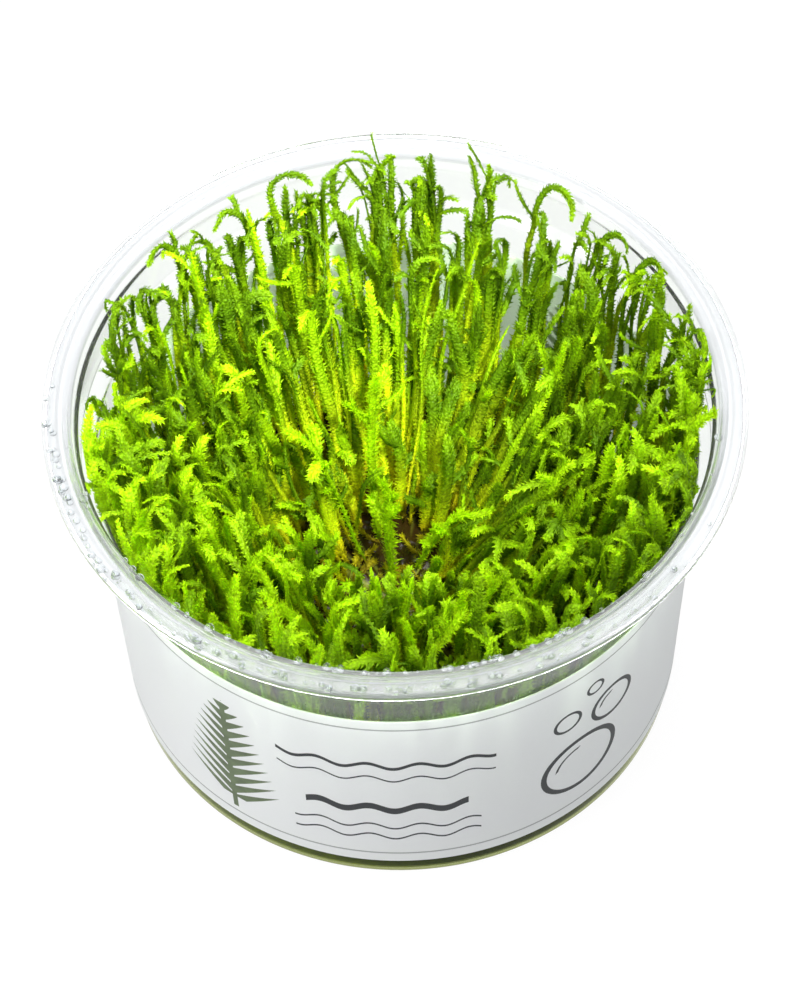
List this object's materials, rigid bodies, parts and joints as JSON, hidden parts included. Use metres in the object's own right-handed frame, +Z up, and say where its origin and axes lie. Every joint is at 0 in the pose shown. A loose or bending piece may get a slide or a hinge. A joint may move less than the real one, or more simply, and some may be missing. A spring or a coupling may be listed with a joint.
{
  "type": "tissue culture moss cup",
  "caption": "Tissue-cultured Taiwan moss on set gel in a clear round cup with a wide rim flange and a film label round the wall; open on top.",
  "frame": {"origin": "middle of the cup's foot, on the plane it stands on", "axes": "+Z up out of the cup's mouth; -Y towards the side that faces the viewer in the picture; +X to that viewer's right"},
  "size_m": [0.101, 0.101, 0.0667],
  "materials": {
    "clear_plastic": "clear, glossy, wet inside",
    "label_film": "satin film",
    "growth_gel": "set gel, wet",
    "moss_green": "soft living leaves and stems, moist"
  },
  "bodies": {
    "root": {"cup": "clear_plastic", "label": "label_film", "growth_gel": "growth_gel", "wall_tuft_01": "moss_green", "wall_tuft_02": "moss_green", "wall_tuft_03": "moss_green", "wall_tuft_04": "moss_green", "wall_tuft_05": "moss_green", "wall_tuft_06": "moss_green", "wall_tuft_07": "moss_green", "wall_tuft_08": "moss_green", "wall_tuft_09": "moss_green", "wall_tuft_10": "moss_green", "wall_tuft_11": "moss_green", "wall_tuft_12": "moss_green", "wall_tuft_13": "moss_green", "wall_tuft_14": "moss_green", "wall_tuft_15": "moss_green", "wall_tuft_16": "moss_green", "wall_tuft_17": "moss_green", "wall_tuft_18": "moss_green", "wall_tuft_19": "moss_green", "wall_tuft_20": "moss_green", "middle_tuft_01": "moss_green", "middle_tuft_02": "moss_green", "middle_tuft_03": "moss_green", "middle_tuft_04": "moss_green", "middle_tuft_05": "moss_green", "middle_tuft_06": "moss_green", "middle_tuft_07": "moss_green", "middle_tuft_08": "moss_green", "middle_tuft_09": "moss_green", "middle_tuft_10": "moss_green", "middle_tuft_11": "moss_green", "middle_tuft_12": "moss_green", "middle_tuft_13": "moss_green", "middle_tuft_14": "moss_green", "inner_tuft_01": "moss_green", "inner_tuft_02": "moss_green", "inner_tuft_03": "moss_green", "inner_tuft_04": "moss_green", "inner_tuft_05": "moss_green", "inner_tuft_06": "moss_green", "inner_tuft_07": "moss_green", "inner_tuft_08": "moss_green", "inner_tuft_09": "moss_green", "inner_tuft_10": "moss_green", "front_shoot": "moss_green", "back_shoot": "moss_green", "left_shoot": "moss_green", "right_shoot": "moss_green"}
  },
  "joints": []
}
